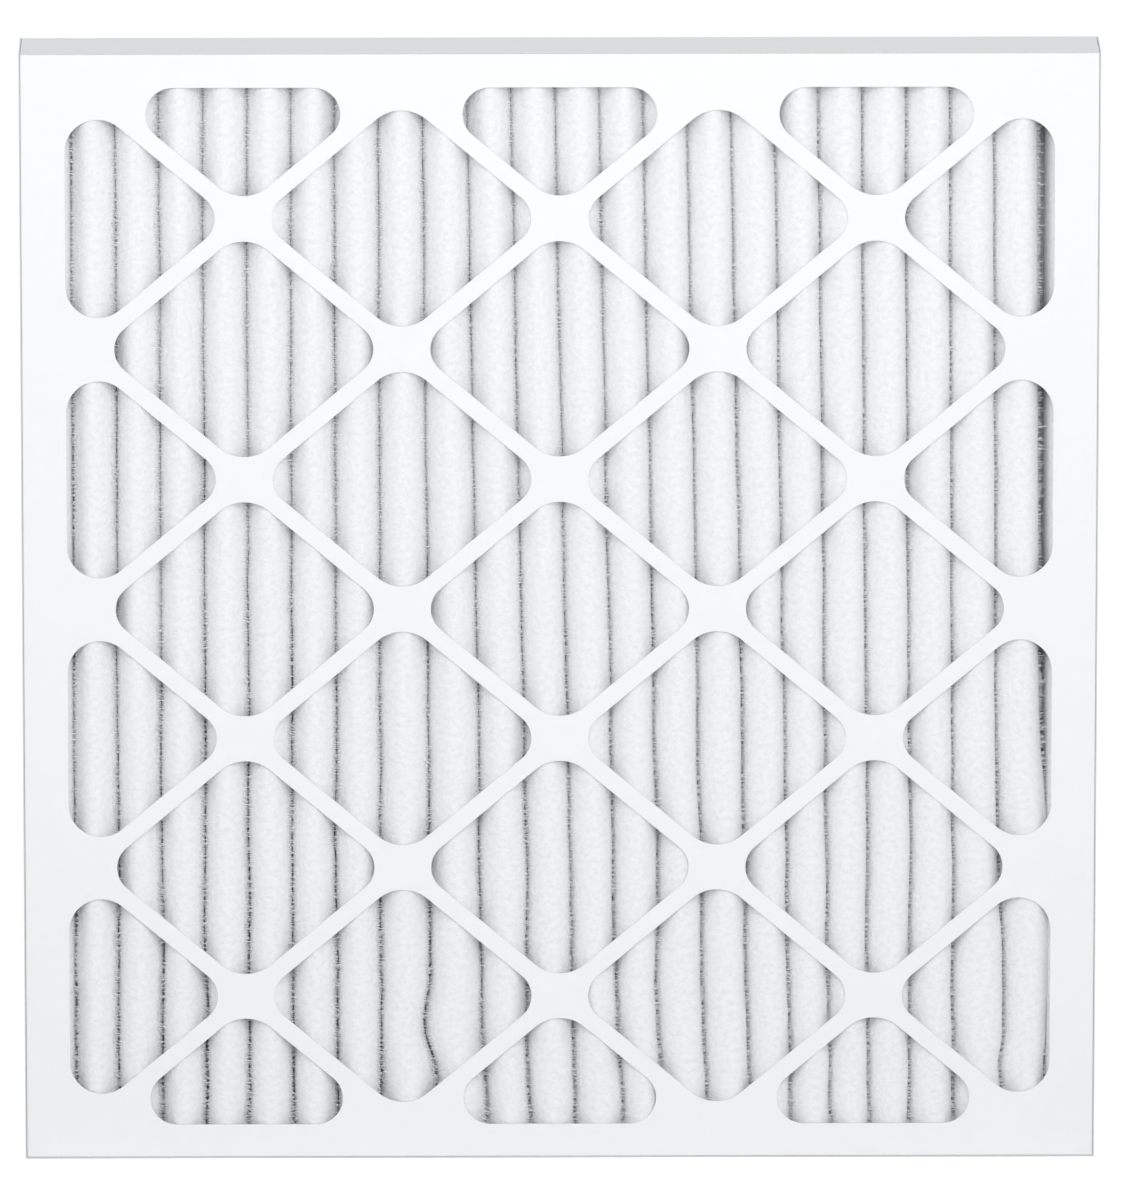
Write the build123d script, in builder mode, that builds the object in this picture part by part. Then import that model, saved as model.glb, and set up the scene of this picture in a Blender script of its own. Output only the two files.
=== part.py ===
from build123d import *
import math
import os

# Pleated panel air filter, standing on its bottom edge. Millimetres.
# X runs across the width, Y through the depth and Z up the height.
# Air enters at the front face, on the -Y side, and leaves at the rear face.

# Overall size of the finished frame
WIDTH = 594.0
HEIGHT = 626.0
DEPTH = 44.5

# Paperboard of the two trays
BOARD = 0.7
FOLD_RADIUS = 1.1
GLUE_LINE = 0.1
CORNER_SLIT = 0.4
TAB_LENGTH = 22.0
TAB_MARGIN = 1.5

# Die-cut diamond grille, on the same lattice in both trays
SIDE_BORDER = 25.0
END_BORDER = 19.5
SIDE_OVERRUN = 11.0
DIAMOND_COLUMNS = 3
DIAMOND_ROWS = 4
STRUT = 9.6
SIDE_TIP_RADIUS = 15.0
END_TIP_RADIUS = 21.0
SIDE_CORNER_RADIUS = 18.0
END_CORNER_RADIUS = 15.0

# Filter sheet and its folds
MEDIA_THICKNESS = 3.0
PLEATS = 22
SIDE_TAIL = 27.0
TAIL_DEPTH = 10.0
FRONT_FOLD_RADIUS = 8.4
FRONT_CREASES = 6
REAR_CREASES = 4

# Welded wire grid that holds the folds apart on the air-leaving side
WIRE = 1.2
CROSS_WIRES = 3
CROSS_WIRE_MARGIN = 62.0
WIRE_SEAT = 0.1
WELD_SINK = 0.2

os.makedirs("parts", exist_ok=True)

# Trays: the front one slides into the rear one, with a glue line between flaps
front_y = -DEPTH / 2
rear_y = DEPTH / 2
tray_step = BOARD + GLUE_LINE
inner_width = WIDTH - 2 * tray_step
inner_height = HEIGHT - 2 * tray_step
inner_depth = DEPTH - tray_step

# Grille: struts cross at the nodes of a regular rhombic lattice
window_width = WIDTH - 2 * SIDE_BORDER
window_height = HEIGHT - 2 * END_BORDER
pitch_x = (window_width - 2 * SIDE_OVERRUN) / DIAMOND_COLUMNS
pitch_z = window_height / DIAMOND_ROWS
strut_angle = math.atan2(pitch_z, pitch_x)
strut_half_x = STRUT / 2 / math.sin(strut_angle)
strut_half_z = STRUT / 2 / math.cos(strut_angle)
diamond_half_x = pitch_x / 2 - strut_half_x
diamond_half_z = pitch_z / 2 - strut_half_z
outer_node_x = pitch_x * (DIAMOND_COLUMNS - 1) / 2
outer_node_z = pitch_z * (DIAMOND_ROWS - 1) / 2
side_opening = window_width / 2 - outer_node_x - strut_half_x
end_opening = window_height / 2 - outer_node_z - strut_half_z

# The tip of a cut-off opening is the origin of its sketch. Its flat side is on +X at the
# sides of the grille, and on +Y at the ends
side_opening_rise = side_opening * math.tan(strut_angle)
end_opening_run = end_opening / math.tan(strut_angle)
grille_plane = Plane((0, 0, HEIGHT / 2), x_dir=(1, 0, 0), z_dir=(0, -1, 0))
row_steps = [pitch_z * (row - (DIAMOND_ROWS - 1) / 2) for row in range(DIAMOND_ROWS)]
column_steps = [pitch_x * (column - (DIAMOND_COLUMNS - 1) / 2) for column in range(DIAMOND_COLUMNS)]


def rounded(corners, radius, half_angle):
    """Round corners with an arc."""
    fillet(corners, radius)


def bevelled(corners, radius, half_angle):
    """Cut corners with a straight side that touches the arc which rounded would give them."""
    chamfer(corners, radius * (1 / math.sin(half_angle) - 1) / math.cos(half_angle))


def grille_openings(ease):
    """Return all the openings of one grille, with their corners eased by rounded or bevelled."""
    side_tip_half = strut_angle
    end_tip_half = math.pi / 2 - strut_angle
    side_corner_half = end_tip_half / 2
    end_corner_half = side_tip_half / 2
    with BuildSketch() as diamond:
        Polygon(
            (diamond_half_x, 0),
            (0, diamond_half_z),
            (-diamond_half_x, 0),
            (0, -diamond_half_z),
            align=None,
        )
        end_tips = diamond.vertices().group_by(Axis.X)[1]
        ease(end_tips, END_TIP_RADIUS, end_tip_half)
        across = diamond.vertices().sort_by(Axis.X)
        ease([across[0], across[-1]], SIDE_TIP_RADIUS, side_tip_half)
    with BuildSketch() as side_cut:
        Polygon(
            (0, 0),
            (side_opening, side_opening_rise),
            (side_opening, -side_opening_rise),
            align=None,
        )
        ease(side_cut.vertices().group_by(Axis.X)[-1], SIDE_CORNER_RADIUS, side_corner_half)
        ease(side_cut.vertices().sort_by(Axis.X)[0], SIDE_TIP_RADIUS, side_tip_half)
    with BuildSketch() as end_cut:
        Polygon(
            (0, 0),
            (end_opening_run, end_opening),
            (-end_opening_run, end_opening),
            align=None,
        )
        ease(end_cut.vertices().group_by(Axis.Y)[-1], END_CORNER_RADIUS, end_corner_half)
        ease(end_cut.vertices().sort_by(Axis.Y)[0], END_TIP_RADIUS, end_tip_half)
    with BuildSketch(grille_plane) as openings:
        with GridLocations(pitch_x, pitch_z, DIAMOND_COLUMNS, DIAMOND_ROWS - 1):
            add(diamond.sketch)
        with GridLocations(pitch_x, pitch_z, DIAMOND_COLUMNS - 1, DIAMOND_ROWS):
            add(diamond.sketch)
        for step in row_steps:
            with Locations(Location((outer_node_x + strut_half_x, step), 0)):
                add(side_cut.sketch)
            with Locations(Location((-outer_node_x - strut_half_x, step), 180)):
                add(side_cut.sketch)
        for step in column_steps:
            with Locations(Location((step, outer_node_z + strut_half_z), 0)):
                add(end_cut.sketch)
            with Locations(Location((step, -outer_node_z - strut_half_z), 180)):
                add(end_cut.sketch)
    return openings.sketch


def folded_tray(width, height, flap_length, outward, openings):
    """Return a die-cut tray: a grille with four flaps folded back from its edges.

    outward is 1 for a tray whose grille faces +Y, and -1 for one that faces -Y.
    """
    open_y = outward * (DEPTH / 2 - flap_length)
    open_end = Plane((0, open_y, HEIGHT / 2), x_dir=(1, 0, 0), z_dir=(0, outward, 0))
    flap_middle = width / 2 - BOARD - CORNER_SLIT / 2
    with BuildPart() as tray:
        with BuildSketch(open_end):
            Rectangle(width, height)
        extrude(amount=flap_length)
        grille_face = tray.faces().sort_by(Axis.Y)[-1 if outward > 0 else 0]
        fillet(grille_face.edges(), FOLD_RADIUS)
        with BuildSketch(open_end):
            Rectangle(width - 2 * BOARD, height - 2 * BOARD)
        extrude(amount=flap_length - BOARD, mode=Mode.SUBTRACT)
        # The flaps meet at the corners edge to edge, with a slit up to the folds
        with BuildSketch(open_end):
            with GridLocations(2 * flap_middle, height - BOARD, 2, 2):
                Rectangle(CORNER_SLIT, BOARD)
        extrude(amount=flap_length - FOLD_RADIUS, mode=Mode.SUBTRACT)
        extrude(openings, amount=DEPTH, both=True, mode=Mode.SUBTRACT)
    return tray.part


# Rear tray: the outer one. Its flaps run forward to the front face, and the corners of its
# openings are straight cuts
with BuildPart() as rear_frame:
    add(folded_tray(WIDTH, HEIGHT, DEPTH, 1, grille_openings(bevelled)))
rear_frame.part.label = "rear_frame"
export_step(rear_frame.part, "parts/rear_frame.step")

# Front tray: the inner one. Its side flaps end in tabs, tucked behind the end flaps
with BuildPart() as front_frame:
    add(folded_tray(inner_width, inner_height, inner_depth, -1, grille_openings(rounded)))
    tab_depth = inner_depth - BOARD - 2 * TAB_MARGIN
    tab_x = inner_width / 2 - BOARD / 2 - TAB_LENGTH / 2
    tab_z = inner_height - 2 * tray_step - BOARD
    tab_plane = Plane((0, front_y + BOARD + TAB_MARGIN, HEIGHT / 2), x_dir=(1, 0, 0), z_dir=(0, 1, 0))
    with BuildSketch(tab_plane):
        with GridLocations(2 * tab_x, tab_z, 2, 2):
            Rectangle(TAB_LENGTH, BOARD)
    extrude(amount=tab_depth)
front_frame.part.label = "front_frame"
export_step(front_frame.part, "parts/front_frame.step")

# Filter sheet: one folded sheet with round folds and upright walls between them.
# Its two tails lean out from the last rear folds to the side flaps
crest_y = front_y + tray_step
trough_y = rear_y - tray_step - 2 * WIRE + WELD_SINK - WIRE_SEAT
sheet_edge_x = inner_width / 2 - tray_step
sheet_height = inner_height - 4 * tray_step  # clear of a flap and a tab at each end
last_fold_x = sheet_edge_x - SIDE_TAIL
pleat_pitch = 2 * last_fold_x / PLEATS
rear_fold_radius = pleat_pitch / 2 - FRONT_FOLD_RADIUS
front_centre_y = crest_y + MEDIA_THICKNESS / 2 + FRONT_FOLD_RADIUS
rear_centre_y = trough_y - MEDIA_THICKNESS / 2 - rear_fold_radius
tail_rise = rear_centre_y - crest_y - TAIL_DEPTH
tail_lean = math.atan2(SIDE_TAIL, tail_rise) - math.asin(
    rear_fold_radius / math.hypot(SIDE_TAIL, tail_rise)
)
ridge_middles = [pleat_pitch * (pleat - (PLEATS - 1) / 2) for pleat in range(PLEATS)]
trough_middles = [-last_fold_x + pleat_pitch * fold for fold in range(PLEATS + 1)]


def creased_fold(middle, centre_y, radius, toward, creases):
    """Return the corners of a half-round fold that is drawn with straight creases."""
    corner_radius = radius / math.cos(math.pi / 2 / creases)
    corners = []
    for crease in range(creases):
        angle = math.pi * (crease + 0.5) / creases
        x = middle - corner_radius * math.cos(angle)
        corners.append((x, centre_y + toward * corner_radius * math.sin(angle)))
    return corners


def tail_corners(reach, side):
    """Return one tail of the sheet, from the side flap round the last rear fold to its wall."""
    end_y = rear_centre_y + (reach - math.cos(tail_lean) * SIDE_TAIL) / math.sin(tail_lean)
    turn_x = last_fold_x + reach * math.tan(math.pi / 4 - tail_lean / 2)
    last_creases = creased_fold(side * last_fold_x, rear_centre_y, reach, 1, REAR_CREASES)
    return [
        (side * sheet_edge_x, end_y),
        (side * turn_x, rear_centre_y + reach),
        *sorted(last_creases, key=lambda corner: -side * corner[0])[REAR_CREASES // 2 :],
        (side * (last_fold_x - reach), front_centre_y),
    ]


front_radius = FRONT_FOLD_RADIUS + MEDIA_THICKNESS / 2
inner_radius = FRONT_FOLD_RADIUS - MEDIA_THICKNESS / 2
front_reach = rear_fold_radius - MEDIA_THICKNESS / 2
rear_reach = rear_fold_radius + MEDIA_THICKNESS / 2
with BuildPart() as pleated_media:
    with BuildSketch(Plane.XY.offset((HEIGHT - sheet_height) / 2)):
        with BuildLine():
            for reach in (front_reach, rear_reach):
                for side in (-1, 1):
                    Polyline(*tail_corners(reach, side))
                for middle in trough_middles[1:-1]:
                    Polyline(
                        (middle - reach, front_centre_y),
                        *creased_fold(middle, rear_centre_y, reach, 1, REAR_CREASES),
                        (middle + reach, front_centre_y),
                    )
            for middle in ridge_middles:
                CenterArc((middle, front_centre_y), front_radius, 180, 180)
                Polyline(
                    (middle - inner_radius, front_centre_y),
                    *creased_fold(middle, front_centre_y, inner_radius, -1, FRONT_CREASES),
                    (middle + inner_radius, front_centre_y),
                )
            for side in (-1, 1):
                Line(tail_corners(front_reach, side)[0], tail_corners(rear_reach, side)[0])
        make_face()
    extrude(amount=sheet_height)
pleated_media.part.label = "pleated_media"
export_step(pleated_media.part, "parts/pleated_media.step")

# Support grid: cross wires creased to the folds, with an upright wire welded at each rear fold
wire_rear_y = trough_y + WIRE_SEAT + WIRE / 2
wire_crease = rear_fold_radius + MEDIA_THICKNESS / 2 + WIRE_SEAT
wire_slope = math.atan2(pleat_pitch / 2 - wire_crease, wire_rear_y - crest_y - MEDIA_THICKNESS)
wire_front_y = crest_y + MEDIA_THICKNESS + WIRE_SEAT + WIRE / 2 / math.sin(wire_slope)
upright_y = wire_rear_y + WIRE - WELD_SINK
cross_wire_span = sheet_height - 2 * CROSS_WIRE_MARGIN
creases = []
for middle in trough_middles:
    creases += [(middle - wire_crease, wire_rear_y), (middle + wire_crease, wire_rear_y)]
    creases.append((middle + pleat_pitch / 2, wire_front_y))
creases.pop()
with BuildSketch() as cross_wire:
    with BuildLine():
        Polyline(*creases)
        offset(amount=WIRE / 2, kind=Kind.INTERSECTION, side=Side.BOTH)
    make_face()
with BuildPart() as support_grid:
    for row in range(CROSS_WIRES):
        height = HEIGHT / 2 + cross_wire_span * (row / (CROSS_WIRES - 1) - 0.5)
        with BuildSketch(Plane.XY.offset(height)):
            add(cross_wire.sketch)
        extrude(amount=WIRE / 2, both=True)
    with BuildSketch(Plane.XY.offset((HEIGHT - sheet_height) / 2)):
        with Locations(*[(middle, upright_y) for middle in trough_middles]):
            Rectangle(WIRE, WIRE)
    extrude(amount=sheet_height)
support_grid.part.label = "support_grid"
export_step(support_grid.part, "parts/support_grid.step")
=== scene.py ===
"""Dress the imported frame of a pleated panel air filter: board trays, folded sheet, wire grid and stage."""

import math
import random

import bmesh
import bpy
from mathutils import Matrix, Vector, noise


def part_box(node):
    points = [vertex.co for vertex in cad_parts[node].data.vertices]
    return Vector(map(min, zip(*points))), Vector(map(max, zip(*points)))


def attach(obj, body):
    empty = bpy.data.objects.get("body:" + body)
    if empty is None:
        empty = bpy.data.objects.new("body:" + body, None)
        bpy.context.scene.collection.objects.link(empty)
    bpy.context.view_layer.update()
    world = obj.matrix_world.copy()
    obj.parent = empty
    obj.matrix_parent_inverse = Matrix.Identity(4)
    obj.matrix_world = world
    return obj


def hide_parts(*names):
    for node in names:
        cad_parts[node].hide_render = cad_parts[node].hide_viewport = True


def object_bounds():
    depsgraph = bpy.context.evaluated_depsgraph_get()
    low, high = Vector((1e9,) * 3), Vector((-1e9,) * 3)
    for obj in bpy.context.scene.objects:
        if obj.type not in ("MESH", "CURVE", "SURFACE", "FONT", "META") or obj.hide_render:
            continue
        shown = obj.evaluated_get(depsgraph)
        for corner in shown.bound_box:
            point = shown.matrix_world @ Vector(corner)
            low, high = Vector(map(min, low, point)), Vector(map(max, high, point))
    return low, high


bl_info = {
    "name": "Pleated panel air filter",
    "version": (1, 0, 0),
    "blender": (4, 5, 0),
    "location": "View3D > Sidebar > Filter",
    "description": "Builds the looks of a pleated panel air filter around its packed frame",
    "category": "Object",
}

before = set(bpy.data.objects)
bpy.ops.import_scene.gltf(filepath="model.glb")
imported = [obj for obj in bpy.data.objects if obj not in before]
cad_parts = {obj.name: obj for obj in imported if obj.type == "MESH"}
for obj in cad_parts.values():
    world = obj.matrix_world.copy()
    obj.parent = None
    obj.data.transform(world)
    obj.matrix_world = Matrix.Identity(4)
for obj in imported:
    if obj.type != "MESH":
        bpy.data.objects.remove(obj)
cad_low, cad_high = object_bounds()

MM = 0.001
BODY = "root"
FRONT = -1
REAR = 1

# Overall size, and the places of the pieces, come from the frame
width = cad_high.x - cad_low.x
height = cad_high.z - cad_low.z
depth = cad_high.y - cad_low.y
middle_z = (cad_low.z + cad_high.z) / 2
media_low, media_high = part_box("pleated_media")
tray_low, tray_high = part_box("front_frame")
grid_low, grid_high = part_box("support_grid")


# ---------------------------------------------------------------- materials


def linear(hex_colour):
    """Linear RGBA of an sRGB colour written as RRGGBB."""
    channels = [int(hex_colour[i : i + 2], 16) / 255 for i in (0, 2, 4)]
    curve = [c / 12.92 if c <= 0.04045 else ((c + 0.055) / 1.055) ** 2.4 for c in channels]
    return (*curve, 1.0)


def shaded(hex_colour, share):
    """Linear RGBA of an sRGB colour that gives back only a share of its light."""
    return [c * share for c in linear(hex_colour)[:3]] + [1.0]


def add_node(tree, kind, links=(), **settings):
    """Add a node, set its properties and sockets by name, and link (output, input name) pairs to it."""
    node = tree.nodes.new(kind)
    for name, value in settings.items():
        if hasattr(node, name):
            setattr(node, name, value)
        else:
            node.inputs[name.replace("_", " ")].default_value = value
    for output, name in links:
        tree.links.new(output, node.inputs[name])
    return node


def new_material(name):
    """New material without nodes, and its node tree."""
    material = bpy.data.materials.new(name)
    material.use_nodes = True
    material.node_tree.nodes.clear()
    return material, material.node_tree


def coated_paperboard(colour):
    """Bleached paperboard with a clay coat, calendered: an even cool white with a low eggshell gloss.

    The fibres under the coat show as a faint cloudiness, some 9 mm across, and as a tooth too
    fine to see one by one, drawn 0.6 mm wide.
    """
    material, tree = new_material("clay_coated_paperboard")
    place = add_node(tree, "ShaderNodeTexCoord")
    cloud = add_node(tree, "ShaderNodeTexNoise", [(place.outputs["Object"], "Vector")],
                     Scale=1 / (9 * MM), Detail=3.0, Roughness=0.6)
    tooth = add_node(tree, "ShaderNodeTexNoise", [(place.outputs["Object"], "Vector")],
                     Scale=1 / (0.6 * MM), Detail=2.0)
    tint = add_node(tree, "ShaderNodeValToRGB", [(cloud.outputs["Fac"], "Fac")])
    tint.color_ramp.elements[0].position = 0.3
    tint.color_ramp.elements[0].color = shaded(colour, 0.985)
    tint.color_ramp.elements[1].position = 0.7
    tint.color_ramp.elements[1].color = linear(colour)
    bump = add_node(tree, "ShaderNodeBump", [(tooth.outputs["Fac"], "Height")],
                    Strength=0.12, Distance=0.05 * MM)
    shader = add_node(tree, "ShaderNodeBsdfPrincipled",
                      [(tint.outputs["Color"], "Base Color"), (bump.outputs["Normal"], "Normal")],
                      Roughness=0.62, IOR=1.5)
    add_node(tree, "ShaderNodeOutputMaterial", [(shader.outputs["BSDF"], "Surface")])
    return material


def cut_core_with_painted_edge_shade(colour):
    """Uncoated board core laid open by the cutting die: dull, a little warmer, fibrous, and partly painted
    edge shade.
    """
    material, tree = new_material("die_cut_core_and_painted_edge_shade")
    place = add_node(tree, "ShaderNodeTexCoord")
    fibre = add_node(tree, "ShaderNodeTexNoise", [(place.outputs["Object"], "Vector")],
                     Scale=1 / (0.8 * MM), Detail=3.0)
    # The given colour is greyer than a bleached core really is: painted shade along the cut edges, under a
    # real fibre mottle
    tint = add_node(tree, "ShaderNodeValToRGB", [(fibre.outputs["Fac"], "Fac")])
    tint.color_ramp.elements[0].color = shaded(colour, 0.86)
    tint.color_ramp.elements[1].color = linear(colour)
    shader = add_node(tree, "ShaderNodeBsdfPrincipled", [(tint.outputs["Color"], "Base Color")],
                      Roughness=0.9, IOR=1.5)
    add_node(tree, "ShaderNodeOutputMaterial", [(shader.outputs["BSDF"], "Surface")])
    return material


def fibre_batting(colour):
    """Thermally bonded polyester fibre sheet: matt, white and lofty, with a soft bloom at its edges.

    Bonded clumps of fibre show as a faint mottle 3 mm across. The fibres themselves, about
    0.03 mm thick, are too fine to show, so they are drawn as a drawn-out grain 0.5 mm wide.
    """
    material, tree = new_material("bonded_polyester_fibre_sheet")
    flat = add_node(tree, "ShaderNodeUVMap", uv_map="flat_sheet")
    clump = add_node(tree, "ShaderNodeTexNoise", [(flat.outputs["UV"], "Vector")],
                     Scale=1 / (3 * MM), Detail=4.0, Roughness=0.7)
    drawn = add_node(tree, "ShaderNodeMapping", [(flat.outputs["UV"], "Vector")], Scale=(1.0, 0.35, 1.0))
    fibre = add_node(tree, "ShaderNodeTexNoise", [(drawn.outputs["Vector"], "Vector")],
                     Scale=1 / (0.5 * MM), Detail=3.0, Distortion=1.2)
    tint = add_node(tree, "ShaderNodeValToRGB", [(clump.outputs["Fac"], "Fac")])
    tint.color_ramp.elements[0].position = 0.3
    tint.color_ramp.elements[0].color = shaded(colour, 0.9)
    tint.color_ramp.elements[1].position = 0.58
    tint.color_ramp.elements[1].color = linear(colour)
    soft = add_node(tree, "ShaderNodeBump", [(clump.outputs["Fac"], "Height")],
                    Strength=0.7, Distance=1.2 * MM)
    fine = add_node(tree, "ShaderNodeBump",
                    [(fibre.outputs["Fac"], "Height"), (soft.outputs["Normal"], "Normal")],
                    Strength=0.5, Distance=0.2 * MM)
    shader = add_node(tree, "ShaderNodeBsdfPrincipled",
                      [(tint.outputs["Color"], "Base Color"), (fine.outputs["Normal"], "Normal")],
                      Roughness=1.0, IOR=1.4, Sheen_Weight=0.15, Sheen_Roughness=0.6)
    add_node(tree, "ShaderNodeOutputMaterial", [(shader.outputs["BSDF"], "Surface")])
    return material


def loose_fibre(colour):
    """Polyester filaments, melt spun and crimped: white and smooth, some a little greyer than others."""
    material, tree = new_material("spun_polyester_filament")
    place = add_node(tree, "ShaderNodeTexCoord")
    strand = add_node(tree, "ShaderNodeTexNoise", [(place.outputs["Object"], "Vector")],
                      Scale=1 / (2 * MM), Detail=1.0)
    tint = add_node(tree, "ShaderNodeValToRGB", [(strand.outputs["Fac"], "Fac")])
    tint.color_ramp.elements[0].color = shaded(colour, 0.85)
    tint.color_ramp.elements[1].color = linear(colour)
    shader = add_node(tree, "ShaderNodeBsdfPrincipled", [(tint.outputs["Color"], "Base Color")],
                      Roughness=0.5, IOR=1.57)
    add_node(tree, "ShaderNodeOutputMaterial", [(shader.outputs["BSDF"], "Surface")])
    return material


def galvanised_wire(colour):
    """Zinc-coated steel wire, drawn and hot dipped: dull grey metal with a cloudy, slightly rough coat."""
    material, tree = new_material("galvanised_drawn_steel_wire")
    place = add_node(tree, "ShaderNodeTexCoord")
    cloud = add_node(tree, "ShaderNodeTexNoise", [(place.outputs["Object"], "Vector")],
                     Scale=1 / (4 * MM), Detail=4.0)
    tint = add_node(tree, "ShaderNodeValToRGB", [(cloud.outputs["Fac"], "Fac")])
    tint.color_ramp.elements[0].color = shaded(colour, 0.75)
    tint.color_ramp.elements[1].color = linear(colour)
    shader = add_node(tree, "ShaderNodeBsdfPrincipled", [(tint.outputs["Color"], "Base Color")],
                      Metallic=1.0, Roughness=0.42)
    add_node(tree, "ShaderNodeOutputMaterial", [(shader.outputs["BSDF"], "Surface")])
    return material


# ------------------------------------------------------------------ helpers


def finish_piece(bm, name, materials):
    """Turn a bmesh into a piece of the object that rides on the body."""
    mesh = bpy.data.meshes.new(name)
    bm.to_mesh(mesh)
    bm.free()
    piece = bpy.data.objects.new(name, mesh)
    bpy.context.scene.collection.objects.link(piece)
    for material in materials:
        mesh.materials.append(material)
    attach(piece, BODY)
    return piece


def section_ring(name, diameter, sides):
    """Curve object of a closed ring with a few sides, to be swept along a path."""
    curve = bpy.data.curves.new(name, "CURVE")
    ring = curve.splines.new("POLY")
    ring.points.add(sides - 1)
    ring.use_cyclic_u = True
    for i, point in enumerate(ring.points):
        turn = 2 * math.pi * i / sides
        point.co = (diameter / 2 * math.cos(turn), diameter / 2 * math.sin(turn), 0, 1)
    return bpy.data.objects.new(name, curve)


def tubes_along(name, lines, diameter, sides, tip=1.0):
    """Bmesh of closed tubes along lines of points, whose last point has the share tip of the diameter."""
    ring = section_ring(name + "_section", diameter, sides)
    curve = bpy.data.curves.new(name, "CURVE")
    curve.dimensions = "3D"
    curve.bevel_mode = "OBJECT"
    curve.bevel_object = ring
    curve.use_fill_caps = True
    for line in lines:
        path = curve.splines.new("POLY")
        path.points.add(len(line) - 1)
        for point, place in zip(path.points, line):
            point.co = (*place, 1)
        path.points[-1].radius = tip
    swept = bpy.data.objects.new(name, curve)
    for helper in (ring, swept):
        bpy.context.scene.collection.objects.link(helper)
    graph = bpy.context.evaluated_depsgraph_get()
    mesh = bpy.data.meshes.new_from_object(swept.evaluated_get(graph), depsgraph=graph)
    for helper in (swept, ring):
        data = helper.data
        bpy.data.objects.remove(helper)
        bpy.data.curves.remove(data)
    bm = bmesh.new()
    bm.from_mesh(mesh)
    bpy.data.meshes.remove(mesh)
    for face in bm.faces:
        face.smooth = True
    bmesh.ops.recalc_face_normals(bm, faces=bm.faces[:])
    return bm


def smoothstep(edge_0, edge_1, value):
    """0 before edge_0, 1 after edge_1 and a smooth rise between them."""
    share = min(1.0, max(0.0, (value - edge_0) / (edge_1 - edge_0)))
    return share * share * (3 - 2 * share)


# -------------------------------------------------------------------- trays


def rounded_loop(bm, corners, radii, steps):
    """Closed outline in the XZ plane: each corner is one vertex spun about the corner's own centre."""
    ends = []
    for i, (corner, radius) in enumerate(zip(corners, radii)):
        before = (corners[i - 1] - corner).normalized()
        after = (corners[(i + 1) % len(corners)] - corner).normalized()
        half = before.angle(after) / 2
        centre = corner + (before + after).normalized() * radius / math.sin(half)
        start = bm.verts.new(corner + before * radius / math.tan(half))
        made = bmesh.ops.spin(bm, geom=[start], cent=centre, axis=after.cross(before).normalized(),
                              angle=math.pi - 2 * half, steps=steps, use_duplicate=False)
        ends.append((start, made["geom_last"][0]))
    for i, (start, _) in enumerate(ends):
        bm.edges.new((ends[i - 1][1], start))


def grille_openings(bm, cut, y):
    """All the openings of one grille, as outlines in the plane at y."""
    window_x = width / 2 - cut.side_border
    window_z = height / 2 - cut.end_border
    pitch_x = 2 * (window_x - cut.side_overrun) / cut.columns
    pitch_z = 2 * window_z / cut.rows
    slope = math.atan2(pitch_z, pitch_x)
    inset_x = cut.strut / 2 / math.sin(slope)
    inset_z = cut.strut / 2 / math.cos(slope)
    column_xs = [pitch_x * (i - (cut.columns - 1) / 2) for i in range(cut.columns)]
    row_zs = [middle_z + pitch_z * (i - (cut.rows - 1) / 2) for i in range(cut.rows)]

    def cut_out(corners, radii):
        rounded_loop(bm, [Vector((x, y, z)) for x, z in corners], radii, cut.corner_steps)

    # Whole diamonds, in the columns between rows and in the rows between columns
    half_x = pitch_x / 2 - inset_x
    half_z = pitch_z / 2 - inset_z
    between_xs = [x + pitch_x / 2 for x in column_xs[:-1]]
    between_zs = [z + pitch_z / 2 for z in row_zs[:-1]]
    centres = [(x, z) for x in column_xs for z in between_zs]
    centres += [(x, z) for x in between_xs for z in row_zs]
    for x, z in centres:
        cut_out([(x + half_x, z), (x, z + half_z), (x - half_x, z), (x, z - half_z)],
                [cut.side_tip_radius, cut.end_tip_radius] * 2)

    # Diamonds that the border cuts off, at the sides and at the ends
    side_radii = [cut.side_tip_radius, cut.side_corner_radius, cut.side_corner_radius]
    end_radii = [cut.end_tip_radius, cut.end_corner_radius, cut.end_corner_radius]
    side_tip = column_xs[-1] + inset_x
    end_tip = row_zs[-1] - middle_z + inset_z
    rise = (window_x - side_tip) * math.tan(slope)
    run = (window_z - end_tip) / math.tan(slope)
    for side in (-1, 1):
        edge_x = side * window_x
        for z in row_zs:
            cut_out([(side * side_tip, z), (edge_x, z + rise), (edge_x, z - rise)], side_radii)
        edge_z = middle_z + side * window_z
        for x in column_xs:
            cut_out([(x, middle_z + side * end_tip), (x + run, edge_z), (x - run, edge_z)], end_radii)


def is_end_flap(face):
    """Whether a face looks up or down, as only those of the end flaps do."""
    return abs(face.normal.z) > 0.9


def corner_slits(bm, cut, outer_x):
    """Cut the slits that part the end flaps from the side flaps, beside the flaps at outer_x."""
    for side in (-1, 1):
        flap_x = side * (outer_x - cut.board)
        slit_x = side * (outer_x - cut.board - cut.corner_slit)
        for x in (flap_x, slit_x):
            flaps = [f for f in bm.faces if is_end_flap(f)]
            parts = {e for f in flaps for e in f.edges} | {v for f in flaps for v in f.verts}
            bmesh.ops.bisect_plane(bm, geom=flaps + list(parts), dist=1e-7,
                                   plane_co=(x, 0, 0), plane_no=(1, 0, 0))
        near, far = sorted((flap_x, slit_x))
        slit = [f for f in bm.faces if is_end_flap(f) and near < f.calc_center_median().x < far]
        bmesh.ops.delete(bm, geom=slit, context="FACES")


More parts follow.
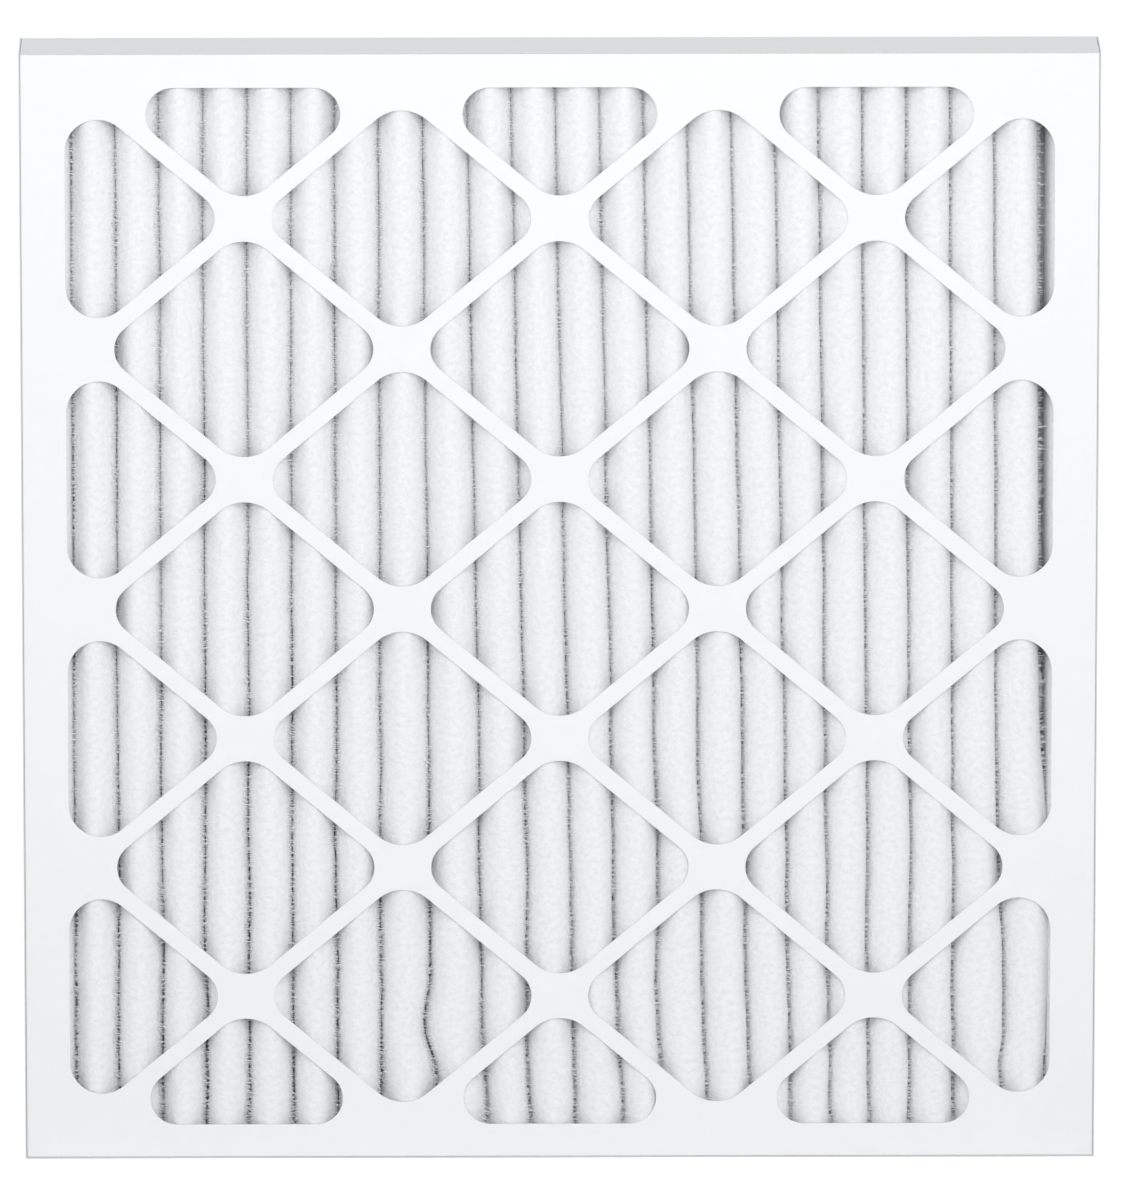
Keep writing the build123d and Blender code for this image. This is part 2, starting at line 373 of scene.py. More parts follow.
def corner_tabs(bm, cut, low, high):
    """Tabs at the ends of the side flaps, folded in to lie behind the end flaps."""
    deep = high.y - low.y - cut.board - 2 * cut.tab_clearance
    tab_x = high.x - cut.board - cut.tab_width / 2
    tab_y = low.y + cut.board + cut.tab_clearance + deep / 2
    tab_z = (high.z - low.z) / 2 - cut.tab_drop
    for side in (-1, 1):
        for end in (-1, 1):
            place = (side * tab_x, tab_y, (low.z + high.z) / 2 + end * tab_z)
            # The lower tabs are mirrored, so that their faces point down
            size = (end * cut.tab_width, deep, 1)
            bmesh.ops.create_grid(bm, x_segments=1, y_segments=1, size=0.5,
                                  matrix=Matrix.LocRotScale(place, None, size))


def board_thickness(tray, cut):
    """Give a folded skin the thickness of its board, with eased cut edges."""
    wall = tray.modifiers.new("board_thickness", "SOLIDIFY")
    wall.thickness = cut.board
    wall.offset = -1.0
    wall.use_even_offset = True
    # The rim and the eased cut edges take the core material, whose grey is partly painted shade along the
    # edges
    wall.material_offset_rim = 1
    eased = tray.modifiers.new("eased_cut", "BEVEL")
    eased.width = cut.cut_ease
    eased.material = 1
    eased.segments = 2
    eased.limit_method = "ANGLE"
    eased.angle_limit = math.radians(60)
    eased.use_clamp_overlap = True
    shading = tray.modifiers.new("even_shading", "WEIGHTED_NORMAL")
    shading.keep_sharp = True


def board_materials(cut):
    """Face and cut edge of the board, made for the first tray and shared by the second; the cut edge's grey
    is partly painted shade.
    """
    face = bpy.data.materials.get("clay_coated_paperboard") or coated_paperboard(cut.colour)
    core = bpy.data.materials.get("die_cut_core_and_painted_edge_shade") or cut_core_with_painted_edge_shade(cut.core_and_painted_edge_shade_colour)
    return [face, core]


def folded_tray(name, node, cut, low, high, facing, flap_length, tabs=False):
    """One die-cut tray: a grille whose four flaps are folded back, with slits between them."""
    face_y = low.y if facing == FRONT else high.y
    bm = bmesh.new()
    grille_openings(bm, cut, face_y)
    rim = [bm.verts.new((x, face_y, z)) for x, z in
           ((low.x, low.z), (high.x, low.z), (high.x, high.z), (low.x, high.z))]
    rim_edges = [bm.edges.new((rim[i - 1], rim[i])) for i in range(len(rim))]
    bmesh.ops.triangle_fill(bm, use_beauty=True, edges=bm.edges[:], normal=(0, facing, 0))
    flaps = bmesh.ops.extrude_edge_only(bm, edges=rim_edges)
    open_rim = [v for v in flaps["geom"] if isinstance(v, bmesh.types.BMVert)]
    bmesh.ops.translate(bm, verts=open_rim, vec=(0, -facing * flap_length, 0))
    bmesh.ops.recalc_face_normals(bm, faces=bm.faces[:])
    bmesh.ops.bevel(bm, geom=rim_edges, affect="EDGES", offset=cut.fold_radius, segments=5,
                    profile=0.5, material=-1, offset_type="OFFSET")
    corner_slits(bm, cut, high.x)
    if tabs:
        corner_tabs(bm, cut, low, high)
    for face in bm.faces:
        face.smooth = True
    tray = finish_piece(bm, name, board_materials(cut))
    board_thickness(tray, cut)
    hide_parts(node)
    return tray


class TraySettings(bpy.types.PropertyGroup):
    """Board and die-cut grille of the two trays."""

    board: bpy.props.FloatProperty(
        name="Board", description="Thickness of the paperboard", default=0.7 * MM,
        unit="LENGTH", precision=4)
    fold_radius: bpy.props.FloatProperty(
        name="Fold radius", description="Outer radius of the creased folds", default=1.1 * MM,
        unit="LENGTH", precision=4)
    corner_slit: bpy.props.FloatProperty(
        name="Corner slit", description="Gap between two flaps at a corner", default=0.4 * MM,
        unit="LENGTH", precision=4)
    tab_width: bpy.props.FloatProperty(
        name="Tab width", description="Corner tab, from the side flap inwards", default=22 * MM,
        unit="LENGTH", precision=4)
    tab_drop: bpy.props.FloatProperty(
        name="Tab drop", description="From the end flap's outer side to the tab", default=0.8 * MM,
        unit="LENGTH", precision=4)
    tab_clearance: bpy.props.FloatProperty(
        name="Tab clearance", description="Left free before and behind a corner tab", default=1.5 * MM,
        unit="LENGTH", precision=4)
    cut_ease: bpy.props.FloatProperty(
        name="Cut ease", description="Softening of the die-cut edges", default=0.2 * MM,
        unit="LENGTH", precision=4)
    side_border: bpy.props.FloatProperty(
        name="Side border", description="Plain board beside the openings", default=25 * MM,
        unit="LENGTH", precision=4)
    end_border: bpy.props.FloatProperty(
        name="End border", description="Plain board above and below the openings", default=19.5 * MM,
        unit="LENGTH", precision=4)
    side_overrun: bpy.props.FloatProperty(
        name="Side overrun", description="Window left outside the outer lattice nodes",
        default=11 * MM, unit="LENGTH", precision=4)
    strut: bpy.props.FloatProperty(
        name="Strut", description="Width of a grille strut", default=9.6 * MM,
        unit="LENGTH", precision=4)
    columns: bpy.props.IntProperty(
        name="Columns", description="Diamonds across the width", default=3, min=1)
    rows: bpy.props.IntProperty(
        name="Rows", description="Diamonds up the height", default=4, min=1)
    side_tip_radius: bpy.props.FloatProperty(
        name="Side tip radius", description="Round of the left and right tips", default=15 * MM,
        unit="LENGTH", precision=4)
    end_tip_radius: bpy.props.FloatProperty(
        name="End tip radius", description="Round of the upper and lower tips", default=21 * MM,
        unit="LENGTH", precision=4)
    side_corner_radius: bpy.props.FloatProperty(
        name="Side corner radius", description="Round where side openings meet the border",
        default=18 * MM, unit="LENGTH", precision=4)
    end_corner_radius: bpy.props.FloatProperty(
        name="End corner radius", description="Round where end openings meet the border",
        default=15 * MM, unit="LENGTH", precision=4)
    corner_steps: bpy.props.IntProperty(
        name="Corner steps", description="Segments in each rounded corner", default=14, min=3)
    colour: bpy.props.StringProperty(
        name="Board colour", description="sRGB hex of the coated face", default="F6F8FA")
    # Part the core's own tone and part painted shade: the cut edges are given a grey that draws them as thin
    # shaded lines
    core_and_painted_edge_shade_colour: bpy.props.StringProperty(
        name="Core colour", description="sRGB hex of the cut edge", default="DDDDDB")


class FILTER_OT_front_tray(bpy.types.Operator):
    """Build the front tray: the inner one, whose grille holds the folds in from the air-entering side"""

    bl_idname = "filter.front_tray"
    bl_label = "Front tray"

    def execute(self, context):
        cut = context.scene.filter_tray
        folded_tray("front_tray", "front_frame", cut, tray_low, tray_high, FRONT,
                    tray_high.y - tray_low.y, tabs=True)
        return {"FINISHED"}


class FILTER_OT_rear_tray(bpy.types.Operator):
    """Build the rear tray: the outer one, whose flaps run forward to the front face"""

    bl_idname = "filter.rear_tray"
    bl_label = "Rear tray"

    def execute(self, context):
        cut = context.scene.filter_tray
        folded_tray("rear_tray", "rear_frame", cut, cad_low, cad_high, REAR, depth)
        return {"FINISHED"}


# -------------------------------------------------------------------- sheet


class SheetSettings(bpy.types.PropertyGroup):
    """Folded filter sheet."""

    thickness: bpy.props.FloatProperty(
        name="Thickness", description="Thickness of the fibre sheet", default=3 * MM,
        unit="LENGTH", precision=4)
    pleats: bpy.props.IntProperty(
        name="Pleats", description="Ridges on the front side", default=22, min=2)
    tail: bpy.props.FloatProperty(
        name="Tail", description="From the last rear fold out to the side flap", default=27 * MM,
        unit="LENGTH", precision=4)
    rear_fold: bpy.props.FloatProperty(
        name="Rear fold radius", description="Middle radius of a rear fold", default=3.8 * MM,
        unit="LENGTH", precision=4)
    first_valley: bpy.props.FloatProperty(
        name="First valley", description="X of the first ridge's outer side at the top",
        default=-269 * MM, unit="LENGTH", precision=4)
    ridge_pitch: bpy.props.FloatProperty(
        name="Ridge pitch", description="From ridge to ridge at the front", default=24.18 * MM,
        unit="LENGTH", precision=5)
    rows: bpy.props.IntProperty(
        name="Rows", description="Mesh rows up the height", default=94, min=4)
    colour: bpy.props.StringProperty(
        name="Sheet colour", description="sRGB hex of the fibre sheet", default="FBFCFD")
    # Single fibres, about 0.03 mm thick, are too fine to show, so whole tufts of them are drawn
    tuft: bpy.props.FloatProperty(
        name="Tuft", description="Thickness of a tuft of loose fibres at its root",
        default=0.5 * MM, unit="LENGTH", precision=5)
    tuft_length: bpy.props.FloatProperty(
        name="Tuft length", description="Length of a common tuft", default=3.2 * MM,
        unit="LENGTH", precision=4)
    wisp_share: bpy.props.FloatProperty(
        name="Wisp share", description="Share of the tufts that are twice as long", default=0.14,
        min=0, max=1)
    flank_tufts: bpy.props.IntProperty(
        name="Flank tufts", description="Tufts on the fuzziest flank of a ridge", default=1400, min=0)
    lying_tufts: bpy.props.IntProperty(
        name="Lying tufts", description="Tufts that lie flat on one ridge", default=60, min=0)


# Where the sheet was pushed out of line: valley number, height, reach up and down, and shift, in mm
KINKS = (
    (8, 74, 16, -3.0),
    (8, 38, 20, 4.0),
    (9, 30, 22, 2.5),
    (10, 62, 26, -2.0),
    (12, 26, 26, 3.0),
    (13, 96, 34, -1.5),
    (21, 90, 70, 4.0),
    (21, 52, 10, -2.5),
    (22, 170, 60, 4.5),
    (22, 90, 90, 3.5),
)


def below_top(z):
    """How far down the filter z lies, from 0 at the top to 1 at the bottom."""
    return 1 - (z - cad_low.z) / height


def valley_x(sheet, valley, z):
    """X of the line between two ridges. The lines drift to the right towards the bottom."""
    x = sheet.first_valley + sheet.ridge_pitch * valley
    down = below_top(z)
    # The leftmost lines stay where they are, and the rightmost ones drift about a third as far
    most_drift = 12 * MM
    free_on_left = smoothstep(-105 * MM, -35 * MM, x)
    free_on_right = 1 - 0.65 * smoothstep(90 * MM, 190 * MM, x)
    drift = most_drift * down * free_on_left * free_on_right
    waviness = (0.5 + 1.3 * down * down) * MM
    wander = noise.noise(Vector((valley * 5.31, z / (55 * MM), 0.5)))
    ripple = noise.noise(Vector((valley * 3.17, z / (18 * MM), 4.5))) * 0.6
    kink = sum(shift * MM * math.exp(-(((z - cad_low.z) / MM - at) / reach) ** 2)
               for number, at, reach, shift in KINKS if number == valley)
    return x + drift + waviness * (wander + ripple) + kink


def valley_gap(valley, z):
    """Half the clear gap between two ridges: pressed shut at the top, opening towards the bottom."""
    least = 0.02 * MM
    opening = (0.6 * below_top(z) ** 1.3 - 0.1) * MM
    uneven = 0.3 * MM * noise.noise(Vector((valley * 2.71, z / (70 * MM), 9.5)))
    return max(least, opening + uneven)


def fold_profile(sheet):
    """Steps along one pleat from a rear fold to the next, as (stage, share) pairs."""
    stages = (("rear_out", 2), ("wall_up", 2), ("ridge", 12), ("wall_down", 2), ("rear_in", 2))
    return [(stage, i / count) for stage, count in stages for i in range(count)]


def ridge_frame(sheet, pleat, z):
    """Middle and half the width of a ridge in X, and the depths in Y of its crest and its foot."""
    skin = sheet.thickness / 2
    left = valley_x(sheet, pleat, z) + valley_gap(pleat, z) + skin
    right = valley_x(sheet, pleat + 1, z) - valley_gap(pleat + 1, z) - skin
    half = (right - left) / 2
    settle = 0.25 * MM
    uneven = noise.noise(Vector((pleat * 1.93, z / (80 * MM), 2.5)))
    crest_y = media_low.y + skin + settle * (1 + uneven)
    arch = 1.25
    return (left + right) / 2, half, crest_y, crest_y + arch * half


def ridge_lean(middle, drop):
    """Shift in X of a ridge at a drop behind its crest. The further right, the more the ridges lean."""
    upright_x = -130 * MM
    leftmost, rightmost = -0.12, 0.38
    slant = min(rightmost, max(leftmost, (middle - upright_x) / 1.08))
    run = 13 * MM
    hinge = 0.75 * run
    return -slant * (min(drop, run) - hinge)


def round_ridge(turn, flat):
    """Share of a ridge's half width and of its rise at an angle round it, from upright arch to flat top."""
    point = 0.7 - 0.45 * flat
    across = (1 - point) * abs(math.cos(turn)) + point * math.sqrt(max(0.0, 1 - math.sin(turn)))
    return math.copysign(across, math.cos(turn)), math.sin(turn) ** (1 - 0.35 * flat)


def ridge_point(sheet, pleat, stage, share, z):
    """Place of the sheet's middle line, in X and Y, at one step of one pleat."""
    middle, half, crest_y, foot_y = ridge_frame(sheet, pleat, z)
    if stage == "ridge":
        # The ridges are the most arched at the upper left and the flattest at the lower right
        flat = smoothstep(-0.5, 1, (middle_z - z) / height + middle / width)
        across, rise = round_ridge(share * math.pi, flat)
        y = foot_y - (foot_y - crest_y) * rise
        return middle - across * half + ridge_lean(middle, y - crest_y), y
    first_fold_x = media_low.x + sheet.tail
    rear_pitch = -2 * first_fold_x / sheet.pleats
    rear_left = first_fold_x + rear_pitch * pleat
    rear_right = rear_left + rear_pitch
    rear_y = media_high.y - sheet.thickness / 2 - sheet.rear_fold
    if stage == "rear_out":
        turn = share * math.pi / 2
        return rear_left + sheet.rear_fold * math.sin(turn), rear_y + sheet.rear_fold * math.cos(turn)
    if stage == "rear_in":
        turn = (1 - share) * math.pi / 2
        return rear_right - sheet.rear_fold * math.sin(turn), rear_y + sheet.rear_fold * math.cos(turn)
    foot_middle = middle + ridge_lean(middle, foot_y - crest_y)
    if stage == "wall_up":
        start, end = rear_left + sheet.rear_fold, foot_middle - half
    else:
        start, end = rear_right - sheet.rear_fold, foot_middle + half
        share = 1 - share
    return start + (end - start) * smoothstep(0, 1, share), rear_y + (foot_y - rear_y) * share


def tail_point(sheet, side, share):
    """Place of the sheet's middle line on a tail, from the side flap (0) to the last rear fold (1)."""
    flap_clearance = 0.3 * MM
    flap_x = side * (media_high.x - flap_clearance)
    flap_y = -19 * MM
    fold_x = side * (media_high.x - sheet.tail)
    fold_y = media_high.y - sheet.thickness / 2
    steepness = 14
    return flap_x + (fold_x - flap_x) * share, flap_y + (fold_y - flap_y) * share ** steepness


def sheet_columns(sheet):
    """Every step across the folded sheet, from its left tail to its right one."""
    tail_steps = 12
    shares = [1 - (1 - i / tail_steps) ** 2 for i in range(tail_steps + 1)]
    columns = [("tail", -1, share) for share in shares[:-1]]
    for pleat in range(sheet.pleats):
        columns += [("pleat", pleat, step) for step in fold_profile(sheet)]
    columns += [("tail", 1, share) for share in reversed(shares)]
    return columns


def folded_point(sheet, column, z):
    """Place of one column of the sheet at height z."""
    kind, which, step = column
    if kind == "tail":
        x, y = tail_point(sheet, which, step)
    else:
        x, y = ridge_point(sheet, which, *step, z)
    return Vector((x, y, z))


def skin_frame(sheet, pleat, share, z):
    """Point on a ridge's outer skin, and the directions along the ridge's curve and out of it."""
    reach = 0.02
    before = Vector(ridge_point(sheet, pleat, "ridge", share - reach, z)).to_3d()
    after = Vector(ridge_point(sheet, pleat, "ridge", share + reach, z)).to_3d()
    along = (after - before).normalized()
    out = Vector((along.y, -along.x, 0))
    place = (before + after) / 2 + out * sheet.thickness / 2
    return Vector((place.x, place.y, z)), along, out


def tuft_line(sheet, pleat, share, z, stand, chance):
    """Root and tip of one tuft, which stands up from the skin by the share stand."""
    place, along, out = skin_frame(sheet, pleat, share, z)
    turn = chance.uniform(0, 2 * math.pi)
    flat_way = along * math.cos(turn) + Vector((0, 0, math.sin(turn)))
    way = (out * stand + flat_way * (1 - stand)).normalized()
    clumping = 0.7 + 0.5 * noise.noise(Vector((pleat * 1.7, z / (4 * MM), 12.5)))
    length = sheet.tuft_length * clumping * chance.uniform(0.5, 1)
    if chance.random() < sheet.wisp_share:
        length *= 2
    root = place - out * sheet.tuft / 2
    tip = place + way * length
    # None comes nearer to the grille than the sheet does
    tip.y = max(tip.y, media_low.y + sheet.tuft / 2)
    root.y = max(root.y, media_low.y + sheet.tuft)
    return root, tip


def flank_share(sheet, pleat, side):
    """Share of the flank tufts that one flank has: all of them on the right and at both ends."""
    outermost = (pleat, side) in ((0, -1), (sheet.pleats - 1, 1))
    if outermost or side == 1:
        return 1.0
    return 0.5 if pleat < sheet.pleats / 3 else 0.25


def tuft_lines(sheet, pleats, chance):
    """Every tuft of some of the ridges. Those on the flanks grow denser towards the bottom."""
    margin = 2 * sheet.tuft_length
    tall = media_high.z - media_low.z - 2 * margin
    lines = []
    for pleat in pleats:
        for side in (-1, 1):
            for _ in range(round(sheet.flank_tufts * flank_share(sheet, pleat, side))):
                # Half a ridge is 0.5, so these stand between the ridge's shoulder and its foot
                share = 0.5 + side * chance.uniform(0.33, 0.47)
                z = media_low.z + margin + tall * chance.random() ** 1.2
                lines.append(tuft_line(sheet, pleat, share, z, chance.uniform(0.6, 1), chance))
        for _ in range(sheet.lying_tufts):
            z = media_low.z + margin + tall * chance.random()
            lines.append(tuft_line(sheet, pleat, chance.uniform(0.1, 0.9), z, 0.12, chance))
    return lines


class FILTER_OT_loose_fibres(bpy.types.Operator):
    """Raise tufts of loose fibres on the sheet's ridges, in a left and a right half"""

    bl_idname = "filter.loose_fibres"
    bl_label = "Loose fibres"

    def execute(self, context):
        sheet = context.scene.filter_sheet
        chance = random.Random(24)
        filament = loose_fibre(sheet.colour)
        half = sheet.pleats // 2
        for name, pleats in (("loose_fibres_left", range(half)),
                             ("loose_fibres_right", range(half, sheet.pleats))):
            bm = tubes_along(name, tuft_lines(sheet, pleats, chance), sheet.tuft, sides=3, tip=0.5)
            finish_piece(bm, name, [filament])
        return {"FINISHED"}


class FILTER_OT_filter_sheet(bpy.types.Operator):
    """Fold the flat fibre sheet into its pleats"""

    bl_idname = "filter.filter_sheet"
    bl_label = "Filter sheet"

    def execute(self, context):
        sheet = context.scene.filter_sheet
        columns = sheet_columns(sheet)
        last = len(columns) - 1
        tall = media_high.z - media_low.z
        # How far along the flat sheet each column lies, measured half way up
        line = [folded_point(sheet, column, middle_z) for column in columns]
        along = [0.0]
        for before, after in zip(line, line[1:]):
            along.append(along[-1] + (after - before).length)
        # A grid one unit square is marked with its flat places, and then folded column by column
        bm = bmesh.new()
        flat = bm.loops.layers.uv.new("flat_sheet")
        bmesh.ops.create_grid(bm, x_segments=last, y_segments=sheet.rows, size=0.5, calc_uvs=True)
        for face in bm.faces:
            face.smooth = True
            for loop in face.loops:
                step = round((loop.vert.co.x + 0.5) * last)
                loop[flat].uv = (along[step], (loop.vert.co.y + 0.5) * tall)
        for vert in bm.verts:
            step = round((vert.co.x + 0.5) * last)
            z = media_low.z + (vert.co.y + 0.5) * tall
            vert.co = folded_point(sheet, columns[step], z)
        bmesh.ops.recalc_face_normals(bm, faces=bm.faces[:])
        piece = finish_piece(bm, "filter_sheet", [fibre_batting(sheet.colour)])
        loft = piece.modifiers.new("loft", "SOLIDIFY")
        loft.thickness = sheet.thickness
        loft.offset = 0.0
        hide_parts("pleated_media")
        return {"FINISHED"}


# --------------------------------------------------------------------- grid


class GridSettings(bpy.types.PropertyGroup):
    """Welded wire grid behind the sheet."""

    wire: bpy.props.FloatProperty(
        name="Wire", description="Diameter of the wires", default=1.2 * MM, unit="LENGTH", precision=4)
    spacing: bpy.props.FloatProperty(
        name="Spacing", description="From cross wire to cross wire", default=25.4 * MM,
        unit="LENGTH", precision=4)
    end_margin: bpy.props.FloatProperty(
        name="End margin", description="From the last cross wire to the sheet's end",
        default=12 * MM, unit="LENGTH", precision=4)
    colour: bpy.props.StringProperty(
        name="Wire colour", description="sRGB hex of the zinc coat", default="C3C6C8")


def grid_lines(grid, sheet):
    """Path of every wire: one upright behind each rear fold, and cross wires that follow the folds."""
    weld_sink = 0.1 * grid.wire
    upright_y = grid_high.y - grid.wire / 2
    cross_y = upright_y - (grid.wire - weld_sink)
    # In front the cross wires reach into the ridges, and behind they run flat across each fold
    ridge_room = 9 * MM
    front_y = media_low.y + sheet.thickness + ridge_room
    flat_half = sheet.rear_fold + sheet.thickness / 2 + 0.3 * grid.wire
    last_x = media_high.x - sheet.tail
    pitch = 2 * last_x / sheet.pleats
    fold_xs = [-last_x + pitch * i for i in range(sheet.pleats + 1)]
    tall = grid_high.z - grid_low.z - 2 * grid.end_margin
    count = round(tall / grid.spacing) + 1
    lines = [[(x, upright_y, grid_low.z), (x, upright_y, grid_high.z)] for x in fold_xs]
    for row in range(count):
        z = grid_low.z + grid.end_margin + tall * row / (count - 1)
        points = []
        for x in fold_xs:
            points += [(x - flat_half, cross_y, z), (x + flat_half, cross_y, z)]
            points.append((x + pitch / 2, front_y, z))
        lines.append(points[:-1])
    return lines


class FILTER_OT_wire_grid(bpy.types.Operator):
    """Weld the grid whose cross wires are folded with the sheet and hold its folds apart"""

    bl_idname = "filter.wire_grid"
    bl_label = "Wire grid"

    def execute(self, context):
        grid = context.scene.filter_grid
        lines = grid_lines(grid, context.scene.filter_sheet)
        bm = tubes_along("wire_grid", lines, grid.wire, sides=6)
        piece = finish_piece(bm, "wire_grid", [galvanised_wire(grid.colour)])
        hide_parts("support_grid")
        return {"FINISHED"}


# -------------------------------------------------------------------- stage


class StageSettings(bpy.types.PropertyGroup):
    """Floor, lights and camera."""

    camera_distance: bpy.props.FloatProperty(
        name="Camera distance", description="From the camera to the filter's middle", default=10.0,
        unit="LENGTH")
    camera_rise: bpy.props.FloatProperty(
        name="Camera rise", description="Angle of the camera above the horizon",
        default=math.radians(12.8), subtype="ANGLE", unit="ROTATION")
    camera_turn: bpy.props.FloatProperty(
        name="Camera turn", description="Angle of the camera round to the left",
        default=math.radians(0.5), subtype="ANGLE", unit="ROTATION")
    frame_share: bpy.props.FloatProperty(
        name="Frame share", description="Height of what the camera sees, in widths of the filter",
        default=1.118, min=0.1)
    frame_shift: bpy.props.FloatProperty(
        name="Frame shift", description="Sideways shift of the lens, in heights of what it sees",
        default=0.0037)
    lamp_place: bpy.props.FloatVectorProperty(
        name="Lamp place", description="Middle of the main soft box", default=(0.05, -1.9, 1.35),
        subtype="TRANSLATION", unit="LENGTH")
    lamp_aim: bpy.props.FloatProperty(
        name="Lamp aim", description="How far above the filter's middle the soft box points",
        default=0.1, unit="LENGTH")
    lamp_size: bpy.props.FloatProperty(
        name="Lamp size", description="Side of the main soft box", default=1.4, unit="LENGTH")
    lamp_power: bpy.props.FloatProperty(
        name="Lamp power", description="Power of the main soft box", default=23.0, unit="POWER")
    sky_strength: bpy.props.FloatProperty(
        name="Sky strength", description="Strength of the even light all round", default=0.55)
    floor_half: bpy.props.FloatProperty(
        name="Floor half", description="From the middle of the floor to its edge", default=60.0,
        unit="LENGTH")
    floor_colour: bpy.props.StringProperty(
        name="Floor colour", description="sRGB hex of the floor", default="F2F2F2")
    floor_lift: bpy.props.FloatProperty(
        name="Floor lift", description="Light added to the floor where it is seen directly",
        default=0.5)


def seen_directly(tree):
    """Output that is 1 for the camera and for clear reflections and refractions, and 0 for plain light."""
    path = add_node(tree, "ShaderNodeLightPath")
    seen = add_node(tree, "ShaderNodeMath",
                    [(path.outputs["Is Camera Ray"], 0), (path.outputs["Is Glossy Ray"], 1)],
                    operation="MAXIMUM")
    clear = add_node(tree, "ShaderNodeMath",
                     [(seen.outputs[0], 0), (path.outputs["Is Transmission Ray"], 1)],
                     operation="MAXIMUM")
    return clear.outputs[0]


def studio_world(strength):
    """Even white light all round. The camera and clear reflections see plain white."""
    world = bpy.data.worlds.new("studio_white")
    world.use_nodes = True
    tree = world.node_tree
    tree.nodes.clear()
    level = add_node(tree, "ShaderNodeMapRange", [(seen_directly(tree), "Value")],
                     To_Min=strength, To_Max=1.0)
    light = add_node(tree, "ShaderNodeBackground", [(level.outputs["Result"], "Strength")],
                     Color=(1.0, 1.0, 1.0, 1.0))
    add_node(tree, "ShaderNodeOutputWorld", [(light.outputs["Background"], "Surface")])
    return world


def studio_floor(colour, strength):
    """Matt white sweep paper, lifted to white for the camera so that only the shadow shows on it."""
    material, tree = new_material("matt_white_sweep_paper")
    place = add_node(tree, "ShaderNodeTexCoord")
    grain = add_node(tree, "ShaderNodeTexNoise", [(place.outputs["Object"], "Vector")],
                     Scale=1 / (2 * MM), Detail=2.0)
    tint = add_node(tree, "ShaderNodeValToRGB", [(grain.outputs["Fac"], "Fac")])
    tint.color_ramp.elements[0].color = shaded(colour, 0.99)
    tint.color_ramp.elements[1].color = linear(colour)
    paper = add_node(tree, "ShaderNodeBsdfDiffuse", [(tint.outputs["Color"], "Color")], Roughness=1.0)
    lift = add_node(tree, "ShaderNodeMath", [(seen_directly(tree), 0)], operation="MULTIPLY")
    lift.inputs[1].default_value = strength
    glow = add_node(tree, "ShaderNodeEmission", [(lift.outputs[0], "Strength")],
                    Color=(1.0, 1.0, 1.0, 1.0))
    both = add_node(tree, "ShaderNodeAddShader")
    tree.links.new(paper.outputs["BSDF"], both.inputs[0])
    tree.links.new(glow.outputs["Emission"], both.inputs[1])
    add_node(tree, "ShaderNodeOutputMaterial", [(both.outputs["Shader"], "Surface")])
    return material


def soft_box(name, place, target, size, power):
    """Square area lamp at place, turned to target."""
    lamp = bpy.data.lights.new(name, "AREA")
    lamp.shape = "SQUARE"
    lamp.size = size
    lamp.energy = power
    holder = bpy.data.objects.new(name, lamp)
    bpy.context.scene.collection.objects.link(holder)
    holder.location = place
    holder.rotation_euler = (target - place).to_track_quat("-Z", "Y").to_euler()
    return holder


def studio_camera(stage):
    """Camera in front of the filter's middle, a little to the left and above, whose frame fits it."""
    lens = bpy.data.cameras.new("camera")
    camera = bpy.data.objects.new("camera", lens)
    bpy.context.scene.collection.objects.link(camera)
    rise, turn = stage.camera_rise, stage.camera_turn
    back = Vector((-math.sin(turn) * math.cos(rise), -math.cos(turn) * math.cos(rise), math.sin(rise)))
    camera.location = Vector((0, 0, middle_z)) + back * stage.camera_distance
    camera.rotation_mode = "QUATERNION"
    camera.rotation_quaternion = (-back).to_track_quat("-Z", "Y")
    lens.sensor_width = 36.0
    lens.sensor_fit = "AUTO"
    lens.lens = stage.camera_distance * lens.sensor_width / (width * stage.frame_share)
    lens.shift_x = stage.frame_shift
    lens.clip_start = 0.1
    lens.clip_end = 200.0
    return camera


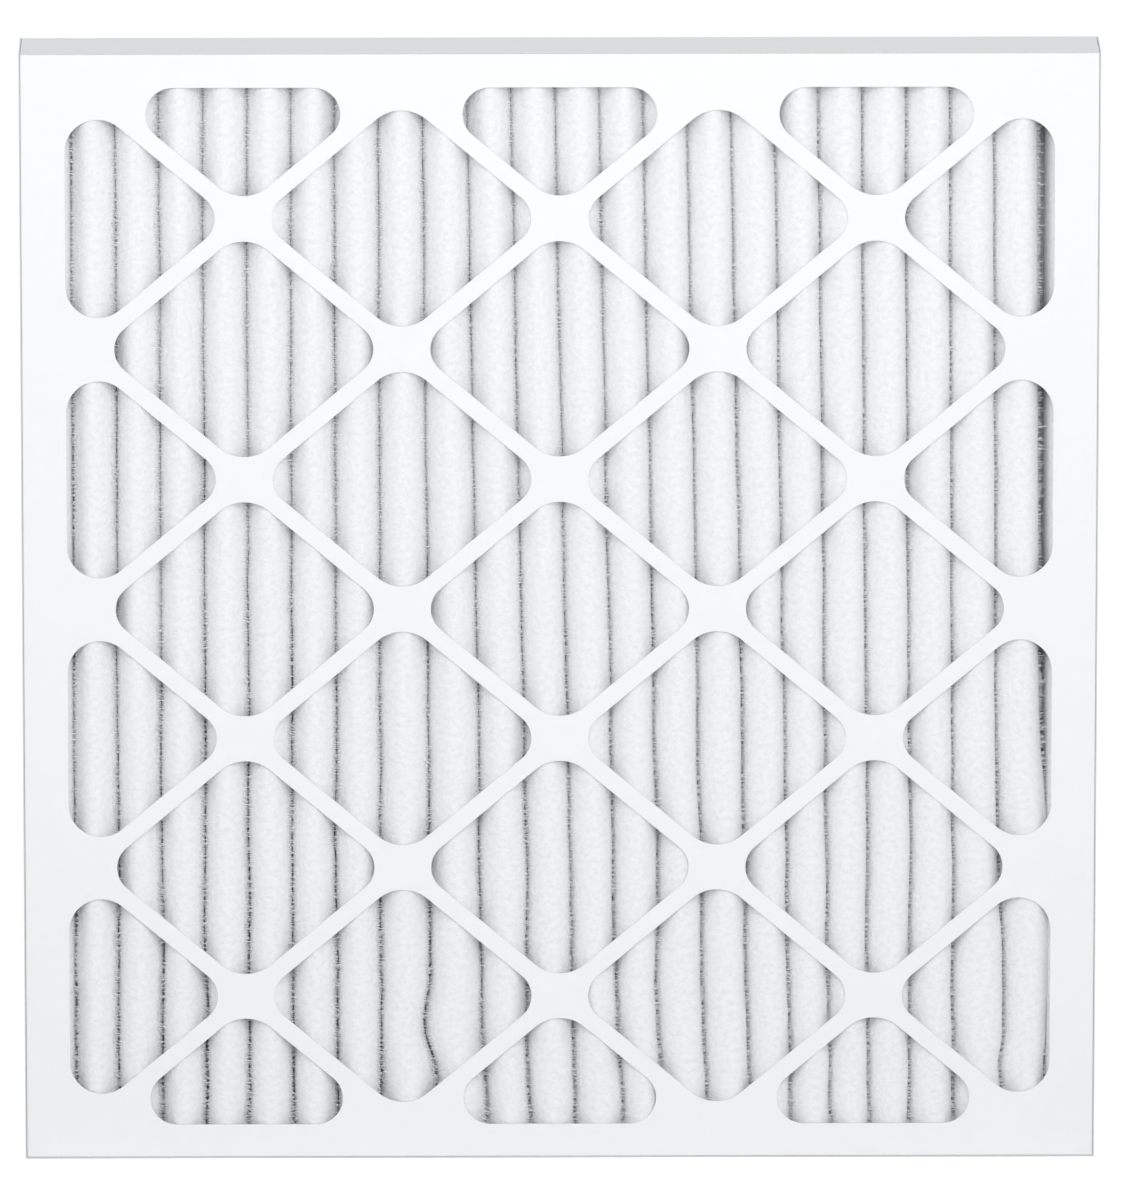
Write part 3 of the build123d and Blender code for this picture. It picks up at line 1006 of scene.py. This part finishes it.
class FILTER_OT_stage(bpy.types.Operator):
    """Lay the floor, and set the lights and the camera"""

    bl_idname = "filter.stage"
    bl_label = "Stage"

    def execute(self, context):
        stage = context.scene.filter_stage
        scene = context.scene
        bm = bmesh.new()
        bmesh.ops.create_grid(bm, x_segments=1, y_segments=1, size=stage.floor_half)
        mesh = bpy.data.meshes.new("floor")
        bm.to_mesh(mesh)
        bm.free()
        floor = bpy.data.objects.new("floor", mesh)
        scene.collection.objects.link(floor)
        mesh.materials.append(studio_floor(stage.floor_colour, stage.floor_lift))
        scene.world = studio_world(stage.sky_strength)
        soft_box("main_soft_box", Vector(stage.lamp_place), Vector((0, 0, middle_z + stage.lamp_aim)),
                 stage.lamp_size, stage.lamp_power)
        scene.camera = studio_camera(stage)
        scene.view_settings.view_transform = "Standard"
        return {"FINISHED"}


# -------------------------------------------------------------------- panel


class FILTER_PT_panel(bpy.types.Panel):
    """Sizes, colours and build steps of the filter"""

    bl_idname = "FILTER_PT_panel"
    bl_label = "Pleated panel filter"
    bl_space_type = "VIEW_3D"
    bl_region_type = "UI"
    bl_category = "Filter"

    def draw(self, context):
        layout = self.layout
        for group in (context.scene.filter_tray, context.scene.filter_sheet,
                      context.scene.filter_grid, context.scene.filter_stage):
            box = layout.box()
            for name in group.__annotations__:
                box.prop(group, name)
        for step in BUILD_STEPS:
            layout.operator(step.bl_idname)


BUILD_STEPS = (
    FILTER_OT_front_tray,
    FILTER_OT_rear_tray,
    FILTER_OT_loose_fibres,
    FILTER_OT_filter_sheet,
    FILTER_OT_wire_grid,
    FILTER_OT_stage,
)
SETTINGS = {
    "filter_tray": TraySettings,
    "filter_sheet": SheetSettings,
    "filter_grid": GridSettings,
    "filter_stage": StageSettings,
}


def register():
    for name, group in SETTINGS.items():
        bpy.utils.register_class(group)
        setattr(bpy.types.Scene, name, bpy.props.PointerProperty(type=group))
    for kind in (*BUILD_STEPS, FILTER_PT_panel):
        bpy.utils.register_class(kind)


def unregister():
    for kind in (FILTER_PT_panel, *reversed(BUILD_STEPS)):
        bpy.utils.unregister_class(kind)
    for name, group in SETTINGS.items():
        delattr(bpy.types.Scene, name)
        bpy.utils.unregister_class(group)


def main():
    register()
    bpy.ops.filter.front_tray()
    bpy.ops.filter.rear_tray()
    bpy.ops.filter.loose_fibres()
    bpy.ops.filter.filter_sheet()
    bpy.ops.filter.wire_grid()
    bpy.ops.filter.stage()


if __name__ == "__main__":
    main()
